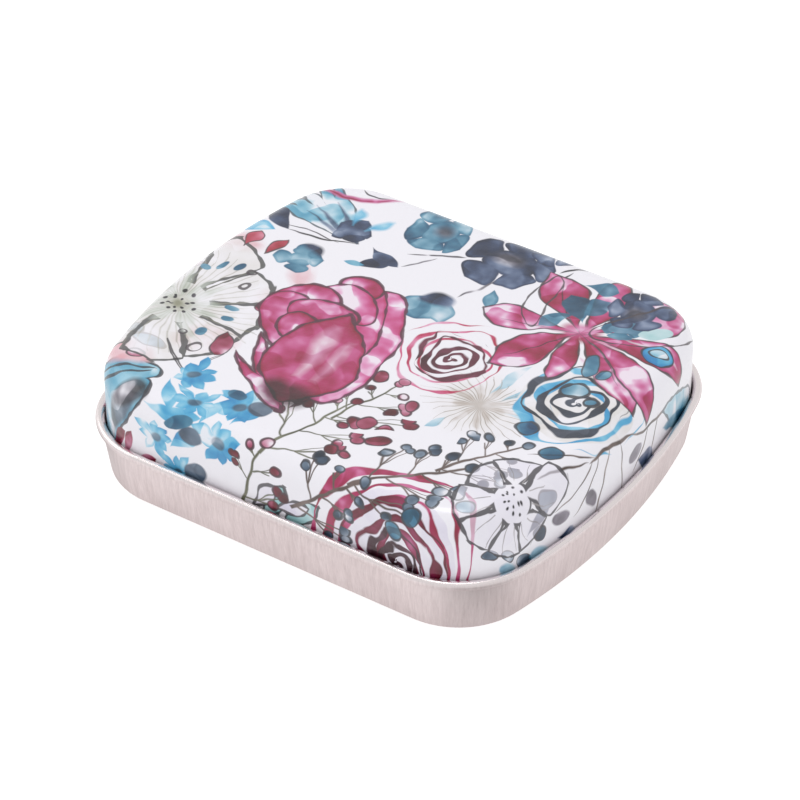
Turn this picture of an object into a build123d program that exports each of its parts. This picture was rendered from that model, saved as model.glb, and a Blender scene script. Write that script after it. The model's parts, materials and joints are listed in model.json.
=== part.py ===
from build123d import *
import os
from math import asin, cos, degrees, radians

# A small flat hinged tin, drawn from tinplate: a base tray with an outward
# rolled rim, a taller lid whose wall drops inside that rim, and a straight
# wire through the rolled rim at the back on which two lid knuckles turn.
# Millimetres. The origin is the centre of the underside. +X runs along the
# long side, -Y is the front, +Y is the hinge side and +Z is up.

# Outline over the rolled rim: straight long sides, bowed short ends.
LENGTH = 62.0
WIDTH = 53.2
CORNER_RADIUS = 10.8
END_RADIUS = 82.7

# Heights
HEIGHT = 15.75
RIM_HEIGHT = 7.2            # centre of the rolled rim
SHEET = 0.2                 # tinplate thickness

# Rolled rim of the base tray
CURL_RADIUS = 0.55          # outside radius of the roll
CURL_SWEEP = 300.0          # the roll stops just short of the wall

# Base tray wall, as mid-sheet insets from the outline
NECK_INSET = 1.0            # upright neck under the roll
NECK_BOTTOM = 4.6           # height where the neck turns into the taper
FOOT_INSET = 1.65           # where the taper would meet the floor
NECK_BEND = 3.0
FOOT_BEND = 0.9
PANEL_INSET = 4.8           # the floor steps up to a shallow raised panel
PANEL_STEP = 0.35
PANEL_SLOPE = 0.6           # run of the step
PANEL_BEND = 0.4

# Lid wall, as mid-sheet insets from the outline
LID_INSET = 1.37
SHOULDER_RADIUS = 2.9       # outside radius of the lid's shoulder
SKIRT_DEPTH = 2.2           # skirt below the rim centre
HEM_GAP = 0.2               # space inside the folded hem
HEM_RISE = 1.0
LID_TOP_INSET = 7.0         # where the swept ring meets the flat top plate

# Hinge
WIRE_RADIUS = 0.32
WIRE_LENGTH = 33.0
KNUCKLE_START = 8.0         # distance of a knuckle's inner end from the middle
KNUCKLE_END = 14.0
KNUCKLE_SWEEP = 300.0
KNUCKLE_SIDE_GAP = 0.2
NOTCH_DEPTH = 0.8           # base wall notch below the rim centre
NOTCH_REACH = 2.2           # the notch is cut this far across the rim
WINDOW_REACH = 5.4          # the lid's window is cut this far across its wall
TAB_TOP = 1.5               # tab leaves the lid wall, above the rim centre
TAB_FOOT = 0.45             # tab reaches the knuckle line, above the rim centre
TAB_OVERLAP = 0.6           # tab runs up on the lid wall it grew from

# Derived values
half_length = LENGTH / 2
half_width = WIDTH / 2
corner_y = half_width - CORNER_RADIUS
end_centre_x = half_length - END_RADIUS
end_reach = END_RADIUS - CORNER_RADIUS
end_sweep = degrees(asin(corner_y / end_reach))
corner_sweep = 90.0 - end_sweep
corner_x = end_centre_x + end_reach * cos(radians(end_sweep))
half_sheet = SHEET / 2
curl_mid = CURL_RADIUS - half_sheet
hinge_y = half_width - CURL_RADIUS
up = (0, 0, 1)


def sheet(*lines):
    """A strip of sheet in the YZ plane, one sheet thick about a mid-line."""
    return Plane.YZ * trace(Curve() + lines, line_width=SHEET)


def ring(profile):
    """Sweep a strip, drawn at the middle of the front, once round the outline."""
    corner_axis = Axis((corner_x, -corner_y, 0), up)
    end_axis = Axis((end_centre_x, 0, 0), up)
    at_corner = Pos(corner_x, 0, 0) * profile
    at_end = at_corner.rotate(corner_axis, corner_sweep)
    side = extrude(profile, amount=corner_x, dir=(1, 0, 0))
    corner = revolve(at_corner, axis=corner_axis, revolution_arc=corner_sweep)
    end = revolve(at_end, axis=end_axis, revolution_arc=end_sweep)
    quarter = side + corner + end
    half = quarter + mirror(quarter, about=Plane.YZ)
    return half + mirror(half, about=Plane.XZ)


def outline_plate(inset, bottom):
    """A sheet-thick plate that fills the outline drawn in by an inset."""
    corner_reach = CORNER_RADIUS - inset
    end_radius = END_RADIUS - inset
    side_y = -half_width + inset
    side = Line((0, side_y), (corner_x, side_y))
    corner = CenterArc((corner_x, -corner_y), corner_reach, -90, corner_sweep)
    end = CenterArc((end_centre_x, 0), end_radius, -end_sweep, end_sweep)
    close_y = Line(end @ 1, (0, 0))
    close_x = Line((0, 0), (0, side_y))
    quarter = make_face(Curve() + [side, corner, end, close_y, close_x])
    plate = extrude(Pos(0, 0, bottom) * quarter, amount=SHEET)
    half = plate + mirror(plate, about=Plane.YZ)
    return half + mirror(half, about=Plane.XZ)


def knuckle_spans(gap):
    """Boxes over both knuckle stations, wider than the knuckles by a gap."""
    width = KNUCKLE_END - KNUCKLE_START + 2 * gap
    middle = (KNUCKLE_START + KNUCKLE_END) / 2
    return [(middle, width), (-middle, width)]


def base_tray():
    """Tray with a rolled rim, an upright neck, a tapered wall and a raised floor."""
    curl_centre = (-half_width + CURL_RADIUS, RIM_HEIGHT)
    curl = CenterArc(curl_centre, curl_mid, 0, CURL_SWEEP)
    step_end = PANEL_INSET + PANEL_SLOPE
    panel_height = half_sheet + PANEL_STEP
    wall = FilletPolyline(
        (-half_width + NECK_INSET, RIM_HEIGHT),
        (-half_width + NECK_INSET, NECK_BOTTOM),
        (-half_width + FOOT_INSET, half_sheet),
        (-half_width + PANEL_INSET, half_sheet),
        (-half_width + step_end, panel_height),
        (-half_width + LID_TOP_INSET, panel_height),
        radius=(NECK_BEND, FOOT_BEND, PANEL_BEND, PANEL_BEND),
    )
    tray = ring(sheet(curl, wall)) + outline_plate(LID_TOP_INSET, PANEL_STEP)
    notch_bottom = RIM_HEIGHT - NOTCH_DEPTH
    notch_height = NOTCH_DEPTH + 2 * CURL_RADIUS
    for middle, width in knuckle_spans(KNUCKLE_SIDE_GAP):
        notch = Box(width, NOTCH_REACH, notch_height)
        tray -= Pos(middle, hinge_y, notch_bottom + notch_height / 2) * notch
    return tray


def hinge_tab(middle, width):
    """A lid tab that steps out from the lid wall and rolls round the wire."""
    wall_y = half_width - LID_INSET
    tab_y = hinge_y - curl_mid
    top = RIM_HEIGHT + TAB_TOP
    foot = RIM_HEIGHT + TAB_FOOT
    tab = Polyline(
        (wall_y, top + TAB_OVERLAP),
        (wall_y, top),
        (tab_y, foot),
        (tab_y, RIM_HEIGHT),
    )
    roll = CenterArc((hinge_y, RIM_HEIGHT), curl_mid, 180, KNUCKLE_SWEEP)
    strip = Pos(middle - width / 2, 0, 0) * sheet(tab, roll)
    return extrude(strip, amount=width, dir=(1, 0, 0))


def lid_shell():
    """Lid with a rounded shoulder, an upright wall and a hemmed skirt."""
    wall = -half_width + LID_INSET
    skirt_bottom = RIM_HEIGHT - SKIRT_DEPTH
    hem_mid = (HEM_GAP + SHEET) / 2
    hem_centre = (wall + hem_mid, skirt_bottom + hem_mid + half_sheet)
    plate_mid = HEIGHT - half_sheet
    cover = FilletPolyline(
        (-half_width + LID_TOP_INSET, plate_mid),
        (wall, plate_mid),
        (wall, hem_centre[1]),
        radius=SHOULDER_RADIUS - half_sheet,
    )
    fold = CenterArc(hem_centre, hem_mid, 180, 180)
    rise = Line(fold @ 1, fold @ 1 + Vector(0, HEM_RISE))
    lid = ring(sheet(cover, fold, rise)) + outline_plate(LID_TOP_INSET, HEIGHT - SHEET)
    window_top = RIM_HEIGHT + TAB_TOP
    window_height = window_top - skirt_bottom + SHEET
    for middle, width in knuckle_spans(KNUCKLE_SIDE_GAP):
        window = Box(width, WINDOW_REACH, window_height)
        lid -= Pos(middle, half_width - LID_INSET, window_top - window_height / 2) * window
    for middle, width in knuckle_spans(0):
        lid += hinge_tab(middle, width)
    return lid


def hinge_wire():
    """Straight wire through the rolled rim at the back and both knuckles."""
    wire = Cylinder(WIRE_RADIUS, WIRE_LENGTH, rotation=(0, 90, 0))
    return Pos(0, hinge_y, RIM_HEIGHT) * wire


os.makedirs("parts", exist_ok=True)
for make in (base_tray, lid_shell, hinge_wire):
    export_step(make(), f"parts/{make.__name__}.step")
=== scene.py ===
import json
import math
from collections import namedtuple
from functools import partialmethod

import bmesh
import bpy
import numpy as np
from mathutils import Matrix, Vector


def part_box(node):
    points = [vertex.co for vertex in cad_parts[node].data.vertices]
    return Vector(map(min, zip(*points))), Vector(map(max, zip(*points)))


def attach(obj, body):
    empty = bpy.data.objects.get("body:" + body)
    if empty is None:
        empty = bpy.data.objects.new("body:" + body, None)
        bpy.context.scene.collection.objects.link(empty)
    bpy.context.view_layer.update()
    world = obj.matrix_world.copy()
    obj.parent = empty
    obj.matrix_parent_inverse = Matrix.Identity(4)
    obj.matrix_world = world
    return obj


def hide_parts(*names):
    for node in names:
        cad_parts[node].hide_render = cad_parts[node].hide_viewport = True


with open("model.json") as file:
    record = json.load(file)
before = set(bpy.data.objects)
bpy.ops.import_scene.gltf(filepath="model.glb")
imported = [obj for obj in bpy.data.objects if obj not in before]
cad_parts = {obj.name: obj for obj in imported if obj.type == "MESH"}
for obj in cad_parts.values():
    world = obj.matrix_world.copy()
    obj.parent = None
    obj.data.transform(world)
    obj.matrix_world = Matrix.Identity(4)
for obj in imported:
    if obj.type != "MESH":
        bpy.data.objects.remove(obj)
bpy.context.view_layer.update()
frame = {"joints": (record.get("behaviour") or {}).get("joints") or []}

# ---------------------------------------------------------------- dimensions
# Lengths are in millimetres until a mesh is made, and then in metres.
MM = 0.001
half_length, half_width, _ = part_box("base_tray")[1] / MM
lid_top = (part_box("lid_shell")[1] / MM).z
wire_low, wire_high = (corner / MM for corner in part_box("hinge_wire"))
_, hinge_y, rim_z = (value / MM for value in frame["joints"][0]["pos_m"])
curl_radius = half_width - hinge_y
wire_radius = (wire_high.z - wire_low.z) / 2

CORNER_RADIUS = 10.8
END_RADIUS = 82.7
SHEET = 0.2
HALF_SHEET = SHEET / 2
PLATE_INSET = 7.0           # where a swept wall meets its flat plate

NECK_INSET = 1.0
NECK_BOTTOM = 4.6
FOOT_INSET = 1.65
PANEL_INSET = 4.8
PANEL_SLOPE = 0.6
PANEL_STEP = 0.35
CURL_SWEEP = 300.0
TRAY_BENDS = (0.4, 0.4, 0.9, 3.0)

LID_INSET = 1.37
SHOULDER_RADIUS = 2.9
SKIRT_DEPTH = 2.2
HEM_RADIUS = 0.2
HEM_RISE = 1.0

KNUCKLE_START = 8.0
KNUCKLE_END = 14.0
KNUCKLE_GAP = 0.2
NOTCH_DEPTH = 0.8
TAB_TOP = 1.5
TAB_FOOT = 0.45
TAB_BENDS = (0.15, 0.3)
WIRE_CHAMFER = 0.08

CORNER_STEPS = 32
END_STEPS = 14
CURL_STEPS = 30
HEM_STEPS = 12
SHOULDER_STEPS = 18
WIRE_SIDES = 32
LONGEST_STEP = 0.7          # between the rows of quads on a wall
LONGEST_NECK_STEP = 0.4
SHARP_EDGE = math.radians(40)

corner_y = half_width - CORNER_RADIUS
end_centre_x = half_length - END_RADIUS
end_reach = END_RADIUS - CORNER_RADIUS
end_sweep = math.asin(corner_y / end_reach)
corner_sweep = math.pi / 2 - end_sweep
corner_x = end_centre_x + end_reach * math.cos(end_sweep)
curl_mid = curl_radius - HALF_SHEET


# ------------------------------------------------------------------ outlines
def quarter_stations():
    """Outline points and outward normals from the front's middle to the right end's."""
    breaks = (0, KNUCKLE_START - KNUCKLE_GAP, KNUCKLE_START, KNUCKLE_END, KNUCKLE_END + KNUCKLE_GAP, corner_x)
    counts = (5, 2, 5, 2, 4)
    spans = [np.linspace(a, b, n) for a, b, n in zip(breaks, breaks[1:], counts)]
    places = [((x, -half_width), (0, -1)) for x in np.unique(np.concatenate(spans))]
    side_steps = len(places) - 1
    for step in range(1, CORNER_STEPS + 1):
        angle = corner_sweep * step / CORNER_STEPS - math.pi / 2
        normal = (math.cos(angle), math.sin(angle))
        places.append(((corner_x + CORNER_RADIUS * normal[0], CORNER_RADIUS * normal[1] - corner_y), normal))
    for step in range(1, END_STEPS + 1):
        angle = end_sweep * (step / END_STEPS - 1)
        normal = (math.cos(angle), math.sin(angle))
        places.append(((end_centre_x + END_RADIUS * normal[0], END_RADIUS * normal[1]), normal))
    return np.array(places), side_steps


def stations():
    """Points and normals once round the outline, anticlockwise from the front's middle."""
    quarter, side_steps = quarter_stations()
    right = np.concatenate([quarter, quarter[-2::-1] * (1, -1)])
    whole = np.concatenate([right, right[-2:0:-1] * (-1, 1)])
    return whole[:, 0], whole[:, 1], side_steps


feet, normals, side_steps = stations()
station_count = len(feet)
quarter_count = station_count // 4
patch_corner = side_steps + CORNER_STEPS // 2
gaps = np.linalg.norm(np.roll(feet, -1, axis=0) - feet, axis=1)
run_lengths = np.concatenate([[0], np.cumsum(gaps)])


def knuckle_kind(column):
    """Whether an outline column is a knuckle, the gap beside one, or plain."""
    x, y = (feet[column] + feet[(column + 1) % station_count]) / 2
    if y < corner_y or not KNUCKLE_START - KNUCKLE_GAP < abs(x) < KNUCKLE_END + KNUCKLE_GAP:
        return "plain"
    return "knuckle" if KNUCKLE_START < abs(x) < KNUCKLE_END else "gap"


# ------------------------------------------------------------------ profiles
def arc(centre, radius, start, end, steps):
    """Points along an arc in the profile plane, angles in degrees."""
    angles = np.radians(np.linspace(start, end, steps + 1))
    return [(centre[0] + radius * math.cos(a), centre[1] + radius * math.sin(a)) for a in angles]


def rounded(points, radii, steps=8):
    """A polyline whose inner corners are turned into arcs."""
    path = [points[0]]
    for before, at, after, radius in zip(points, points[1:], points[2:], radii):
        before, at, after = Vector(before), Vector(at), Vector(after)
        to_back, to_front = (before - at).normalized(), (after - at).normalized()
        half_angle = to_back.angle(to_front) / 2
        centre = at + (to_back + to_front).normalized() * radius / math.sin(half_angle)
        start = at + to_back * radius / math.tan(half_angle) - centre
        sweep = start.angle_signed(at + to_front * radius / math.tan(half_angle) - centre)
        for step in range(steps + 1):
            angle = -sweep * step / steps
            c, s = math.cos(angle), math.sin(angle)
            path.append((centre.x + start.x * c - start.y * s, centre.y + start.x * s + start.y * c))
    path.append(points[-1])
    return path


def subdivided(path, longest):
    """The path with extra points, so that no piece of it is longer than a limit."""
    dense = [path[0]]
    for a, b in zip(path, path[1:]):
        count = max(1, math.ceil(math.dist(a, b) / longest))
        for k in range(1, count + 1):
            dense.append((a[0] + (b[0] - a[0]) * k / count, a[1] + (b[1] - a[1]) * k / count))
    return dense


def sheet_rows(path, joined=None):
    """Both faces of a sheet about a mid-line: (inset, height) on the two sides and the length so far."""
    path = np.array([p for k, p in enumerate(path) if k == 0 or math.dist(p, path[k - 1]) > 1e-6])
    steps = np.diff(path, axis=0)
    lengths = np.linalg.norm(steps, axis=1)
    leans = steps / lengths[:, None]
    leans = np.concatenate([leans[:1], leans]) + np.concatenate([leans, leans[-1:]])
    leans /= np.linalg.norm(leans, axis=1)[:, None]
    aside = np.stack([leans[:, 1], -leans[:, 0]], axis=1) * HALF_SHEET
    start = joined[2] if joined else 0.0
    totals = start + np.concatenate([[0], np.cumsum(lengths)])
    rows = [(tuple(a), tuple(b), length) for a, b, length in zip(path + aside, path - aside, totals)]
    return [joined] + rows[1:] if joined else rows


def base_profile():
    """The tray's mid-line from the floor plate out, up the wall and round the rim."""
    panel_z = HALF_SHEET + PANEL_STEP
    corners = [
        (PLATE_INSET, panel_z),
        (PANEL_INSET + PANEL_SLOPE, panel_z),
        (PANEL_INSET, HALF_SHEET),
        (FOOT_INSET, HALF_SHEET),
        (NECK_INSET, NECK_BOTTOM),
        (NECK_INSET, rim_z),
    ]
    wall = rounded(corners, TRAY_BENDS)
    notch = wall[:-1] + [(NECK_INSET, rim_z - NOTCH_DEPTH)]
    neck = [notch[-1], (NECK_INSET, rim_z)]
    curl = arc((curl_radius, rim_z), curl_mid, 0, CURL_SWEEP, CURL_STEPS)
    return subdivided(notch, LONGEST_STEP), subdivided(neck, LONGEST_NECK_STEP) + curl[1:]


def lid_profile():
    """The lid's mid-line from the top plate out, down the wall and round the hem."""
    plate_z = lid_top - HALF_SHEET
    split_z = rim_z + TAB_TOP
    hem_z = rim_z - SKIRT_DEPTH + HALF_SHEET + HEM_RADIUS
    cover = rounded(
        [(PLATE_INSET, plate_z), (LID_INSET, plate_z), (LID_INSET, split_z)],
        (SHOULDER_RADIUS - HALF_SHEET,),
        SHOULDER_STEPS,
    )
    flat_edge = (LID_INSET + SHOULDER_RADIUS, plate_z)
    upper = subdivided([cover[0], flat_edge] + cover[1:], LONGEST_STEP)
    fold = arc((LID_INSET + HEM_RADIUS, hem_z), HEM_RADIUS, 180, 360, HEM_STEPS)
    rise = [fold[-1], (fold[-1][0], hem_z + HEM_RISE)]
    skirt = subdivided([(LID_INSET, split_z), (LID_INSET, hem_z)], LONGEST_STEP) + fold[1:] + rise[1:]
    tab_inset = half_width - hinge_y + curl_mid
    bends = [(LID_INSET, split_z - 0.1), (tab_inset, rim_z + TAB_FOOT)]
    tab = rounded([(LID_INSET, split_z + 0.01), *bends, (tab_inset, rim_z)], TAB_BENDS, steps=4)
    tab[0] = (LID_INSET, split_z)
    roll = arc((half_width - hinge_y, rim_z), curl_mid, 0, -CURL_SWEEP, CURL_STEPS)
    return upper, skirt, tab + roll[1:]


# -------------------------------------------------------------- mesh making
UV_SPAN = 100.0             # millimetres of sheet in one unit of a UV map


def placed(name, data):
    """A new object in the scene that shows some data."""
    made = bpy.data.objects.new(name, data)
    bpy.context.scene.collection.objects.link(made)
    return made


class Sheet:
    """Collects the quads of one sheet-metal shell, sharing equal points."""

    def __init__(self, flat_run):
        self.flat_run = flat_run
        self.points = {}
        self.faces = []
        self.prints = []
        self.runs = []
        self.sides = []

    def corner(self, point):
        key = tuple(round(value, 5) for value in point)
        return self.points.setdefault(key, len(self.points))

    def quad(self, corners, prints, runs, side):
        """Adds a face: its points, its places on the unrolled sheet, on the wall, and its side."""
        indices = [self.corner(point) for point in corners]
        if len(set(indices)) == len(indices):
            self.faces.append(indices)
            self.prints.append(prints)
            self.runs.append(runs)
            self.sides.append(side)

    def place(self, station, row, side, flat):
        """A point, its unrolled place and its place along the wall for one station and row."""
        inset, height = row[side]
        foot, normal = feet[station % station_count], normals[station % station_count]
        x, y = (foot - normal * inset).tolist()
        unrolled = (foot - normal * (PLATE_INSET - row[2])).tolist()
        return (x, y, height), unrolled, unrolled if flat else (float(run_lengths[station]), row[2])

    def strip(self, station, next_station, row, next_row, side=1):
        """One quad: on a face of the sheet, or across its cut edge along a row or a station."""
        if station == next_station:
            ends = [(station, row, 0), (station, next_row, 0), (station, next_row, 1), (station, row, 1)]
        elif row is next_row:
            ends = [(station, row, 0), (next_station, row, 0), (next_station, row, 1), (station, row, 1)]
        else:
            ends = [(station, row, side), (next_station, row, side)]
            ends += [(next_station, next_row, side), (station, next_row, side)]
        flat = max(row[2], next_row[2]) < self.flat_run
        corners, prints, runs = zip(*(self.place(*end, flat) for end in ends))
        self.quad(corners, prints, runs, side)

    def sweep(self, groups, wanted):
        """Sweeps groups of rows round the outline; wanted names each kind of column's groups."""
        held = []
        for column in range(station_count):
            names = wanted[knuckle_kind(column)]
            held.append(names)
            uses = {}
            for name in names:
                for row, next_row in zip(groups[name], groups[name][1:]):
                    for side in (0, 1):
                        self.strip(column, column + 1, row, next_row, side)
                for row in (groups[name][0], groups[name][-1]):
                    uses.setdefault(row, []).append(name)
            for row, users in uses.items():
                if len(users) == 1 and row[2] > 0:
                    self.strip(column, column + 1, row, row)
        for column in range(station_count):
            for name in set(held[column - 1]) ^ set(held[column]):
                for row, next_row in zip(groups[name], groups[name][1:]):
                    self.strip(column, column, row, next_row)

    def plate(self, row):
        """Fills the hole inside the first row with a grid, on both faces."""
        for side in (0, 1):
            inset, height = row[side]
            ring = feet - normals * inset
            front = [ring[k % station_count] for k in range(-patch_corner, patch_corner + 1)]
            back = [ring[2 * quarter_count - k] for k in range(-patch_corner, patch_corner + 1)]
            reach = 2 * (quarter_count - patch_corner)
            right = [ring[patch_corner + k] for k in range(reach + 1)]
            left = [ring[-patch_corner - k] for k in range(reach + 1)]
            grid = coons(*(np.array(edge) for edge in (front, back, left, right))).tolist()
            for i in range(len(front) - 1):
                for j in range(reach):
                    cells = [grid[i][j], grid[i + 1][j], grid[i + 1][j + 1], grid[i][j + 1]]
                    self.quad([(x, y, height) for x, y in cells], cells, cells, side)

    def piece(self, name, materials, outside=lambda prints: 0):
        """Makes the Blender object; outside gives the material of each face on the sheet's first side."""
        mesh = bpy.data.meshes.new(name)
        mesh.from_pydata([Vector(point) * MM for point in self.points], [], self.faces)
        for layer_name, values in (("unrolled", self.prints), ("wall", self.runs)):
            layer = mesh.uv_layers.new(name=layer_name)
            flat = np.array([value for face in values for value in face], np.float32) / UV_SPAN
            layer.data.foreach_set("uv", flat.ravel())
        for material in materials:
            mesh.materials.append(material)
        indices = [0 if side else outside(prints) for side, prints in zip(self.sides, self.prints)]
        mesh.polygons.foreach_set("material_index", indices)
        shape = bmesh.new()
        shape.from_mesh(mesh)
        bmesh.ops.recalc_face_normals(shape, faces=shape.faces)
        shape.to_mesh(mesh)
        shape.free()
        mesh.shade_smooth()
        mesh.set_sharp_from_angle(angle=SHARP_EDGE)
        return placed(name, mesh)


def coons(front, back, left, right):
    """A grid of points blended between four boundary curves."""
    def shares(edge):
        steps = np.linalg.norm(np.diff(edge, axis=0), axis=1)
        return np.concatenate([[0], np.cumsum(steps)]) / steps.sum()

    u = shares(front)[:, None, None]
    v = shares(left)[None, :, None]
    across = (1 - v) * front[:, None] + v * back[:, None]
    along = (1 - u) * left[None] + u * right[None]
    corners = (1 - u) * (1 - v) * front[0] + u * (1 - v) * front[-1]
    return across + along - (corners + (1 - u) * v * back[0] + u * v * back[-1])


# --------------------------------------------------------------- shader maths
def written(operation, flipped=False):
    """A method that adds a maths node where two values meet in a formula."""
    def method(self, other):
        return self.m.math(operation, *((other, self) if flipped else (self, other)))

    return method


class Value:
    """A shader node's output, which formulas can be written with."""

    def __init__(self, m, socket):
        self.m = m
        self.socket = socket

    def __abs__(self):
        return self.m.math("ABSOLUTE", self)

    __add__, __radd__ = written("ADD"), written("ADD", True)
    __sub__, __rsub__ = written("SUBTRACT"), written("SUBTRACT", True)
    __mul__, __rmul__ = written("MULTIPLY"), written("MULTIPLY", True)
    __truediv__, __rtruediv__ = written("DIVIDE"), written("DIVIDE", True)


class Maths:
    """Adds shader nodes to one node tree."""

    def __init__(self, tree):
        self.nodes = tree.nodes
        self.links = tree.links
        self.nodes.clear()

    def node(self, kind, *values, out=0, **settings):
        made = self.nodes.new(kind)
        for name, value in settings.items():
            setattr(made, name, value)
        for socket, value in zip(made.inputs, values):
            self.feed(socket, value)
        return Value(self, made.outputs[out])

    def values(self, sockets):
        return [Value(self, socket) for socket in sockets]

    def feed(self, socket, value):
        if isinstance(value, Value):
            self.links.new(value.socket, socket)
        elif value is not None:
            socket.default_value = (*value, 1.0) if socket.type == "RGBA" and len(value) == 3 else value

    def math(self, operation, *values):
        return self.node("ShaderNodeMath", *values, operation=operation)

    mul_add = partialmethod(math, "MULTIPLY_ADD")
    min = partialmethod(math, "MINIMUM")
    max = partialmethod(math, "MAXIMUM")

    def vector(self, operation, *values):
        return self.node("ShaderNodeVectorMath", *values, operation=operation)

    def length(self, vector):
        return self.node("ShaderNodeVectorMath", vector, operation="LENGTH", out=1)

    def split(self, vector, count=2):
        made = self.nodes.new("ShaderNodeSeparateXYZ")
        self.feed(made.inputs[0], vector)
        return self.values(made.outputs[:count])

    def mix_number(self, factor, a, b):
        return self.node("ShaderNodeMix", factor, None, a, b)

    def join(self, x, y, z=0.0):
        return self.node("ShaderNodeCombineXYZ", x, y, z)

    def ramp(self, value, low, high, to_low=0.0, to_high=1.0):
        return self.node("ShaderNodeMapRange", value, low, high, to_low, to_high)

    def mix(self, factor, a, b, blend="MIX"):
        made = self.nodes.new("ShaderNodeMix")
        made.data_type = "RGBA"
        made.blend_type = blend
        for index, value in ((0, factor), (6, a), (7, b)):
            self.feed(made.inputs[index], value)
        return Value(self, made.outputs[2])

    def noise(self, vector, scale, detail=2.0, roughness=0.5, out=0):
        made = self.nodes.new("ShaderNodeTexNoise")
        made.noise_dimensions = "2D"
        for name, value in dict(Vector=vector, Scale=scale, Detail=detail, Roughness=roughness).items():
            self.feed(made.inputs[name], value)
        return Value(self, made.outputs[out])

    def chance(self, value):
        """A different number from 0 to 1 for every input number."""
        return self.node("ShaderNodeTexWhiteNoise", None, value, noise_dimensions="1D")

    def sheet(self, layer="unrolled"):
        """The place on the flat sheet, in millimetres."""
        uv = self.node("ShaderNodeUVMap", uv_map=layer)
        return self.vector("MULTIPLY", uv, (UV_SPAN, UV_SPAN, 0))

    def bump(self, height, strength, distance):
        made = self.node("ShaderNodeBump", strength, distance)
        self.feed(made.socket.node.inputs["Height"], height)
        return made

    def use(self, tree, *values):
        """Adds a node group and gives its outputs."""
        made = self.nodes.new("ShaderNodeGroup")
        made.node_tree = tree
        for socket, value in zip(made.inputs, values):
            self.feed(socket, value)
        return self.values(made.outputs)

    def local(self, point, middle, turn, size=(1, 1, 1)):
        """The point in a shape's own frame; the turn is in radians."""
        return self.node("ShaderNodeMapping", point, middle, turn, size, vector_type="TEXTURE")

    def own(self, point, middle, turn):
        """How far along and across a shape the point is."""
        return self.split(self.local(point, middle, turn))


def group(name, inputs, outputs, build):
    """A node group; inputs and outputs name its sockets, v: for vectors and c: for colours."""
    tree = bpy.data.node_groups.new(name, "ShaderNodeTree")
    for direction, sockets in (("INPUT", inputs), ("OUTPUT", outputs)):
        for label in sockets.split():
            kind, _, label = label.rpartition(":")
            kind = {"": "NodeSocketFloat", "v": "NodeSocketVector", "c": "NodeSocketColor"}[kind]
            tree.interface.new_socket(label, in_out=direction, socket_type=kind)
    m = Maths(tree)
    source = m.nodes.new("NodeGroupInput")
    results = build(m, *m.values(source.outputs[:-1]))
    sink = m.nodes.new("NodeGroupOutput")
    for socket, result in zip(sink.inputs, results):
        m.feed(socket, result)
    return tree


def new_material(name):
    material = bpy.data.materials.new(name)
    material.use_nodes = True
    return material, Maths(material.node_tree)


def finish(m, **inputs):
    """Ends a material with a shader that takes the named inputs."""
    shader = m.nodes.new("ShaderNodeBsdfPrincipled")
    output = m.nodes.new("ShaderNodeOutputMaterial")
    for name, value in inputs.items():
        m.feed(shader.inputs[name.replace("_", " ")], value)
    m.links.new(shader.outputs[0], output.inputs[0])


def tint(red, green, blue):
    """A scene colour from display values out of 255."""
    def linear(value):
        value /= 255
        return value / 12.92 if value <= 0.04045 else ((value + 0.055) / 1.055) ** 2.4

    return linear(red), linear(green), linear(blue)


# ------------------------------------------------------------- print shapes
# The print is drawn on the unrolled sheet: x and y are millimetres from the
# lid's middle, and run on over the shoulder and down the wall. Each shape group
# gives the distance to the shape's edge, less than nothing inside, and a share
# that runs from its foot or middle to its rim.
def leaf_side(m, across, along, length, width, belly):
    """Distance sideways to a leaf's edge, evened out where the edge turns in."""
    rise = math.log(0.5) / m.math("LOGARITHM", belly, math.e)
    lift = m.math("POWER", along, rise)
    swing = lift * math.pi
    off = across - m.math("SINE", swing) * (width * 0.5)
    steep = rise * (0.5 * math.pi) * (width / length)
    slope = lift / m.max(along, 0.05) * m.math("COSINE", swing)
    slope = slope * steep
    return off / m.math("SQRT", m.mul_add(slope, slope, 1.0))


def petal_nodes(m, point, middle, turn, length, width, belly, lean):
    """A petal from its foot: belly is where it is widest, lean bends its tip aside."""
    along, across = m.own(point, middle, turn)
    along = along / length
    squared = along * along
    across = m.mul_add(squared, lean, across)
    inside = m.min(m.max(along, 0.0), 1.0)
    side = leaf_side(m, abs(across), inside, length, width, belly)
    past = (abs(along - 0.5) - 0.5) * length
    return m.max(side, past), inside


def oval_nodes(m, point, middle, turn, rx, ry, lean):
    """An ellipse whose long way can be bent into a crescent."""
    along, across = m.own(point, middle, turn)
    along = along / rx
    squared = along * along
    across = m.mul_add(squared, lean, across) / ry
    spread = m.length(m.join(along, across))
    steep = m.length(m.join(along / rx, across / ry))
    past = (spread - 1.0) * spread
    return past / m.max(steep, 0.001), spread


def stroke_nodes(m, point, middle, turn, half_length, half_width, rise):
    """A brush stroke that swells in its middle and may bow."""
    along, across = m.own(point, middle, turn)
    along = along / half_length
    squared = along * along
    across = m.mul_add(squared, rise, across)
    blunt = (1.0 - squared * squared) * half_width
    side = abs(across) - blunt
    past = (abs(along) - 1.0) * half_length
    return m.max(side, past), squared


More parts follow.
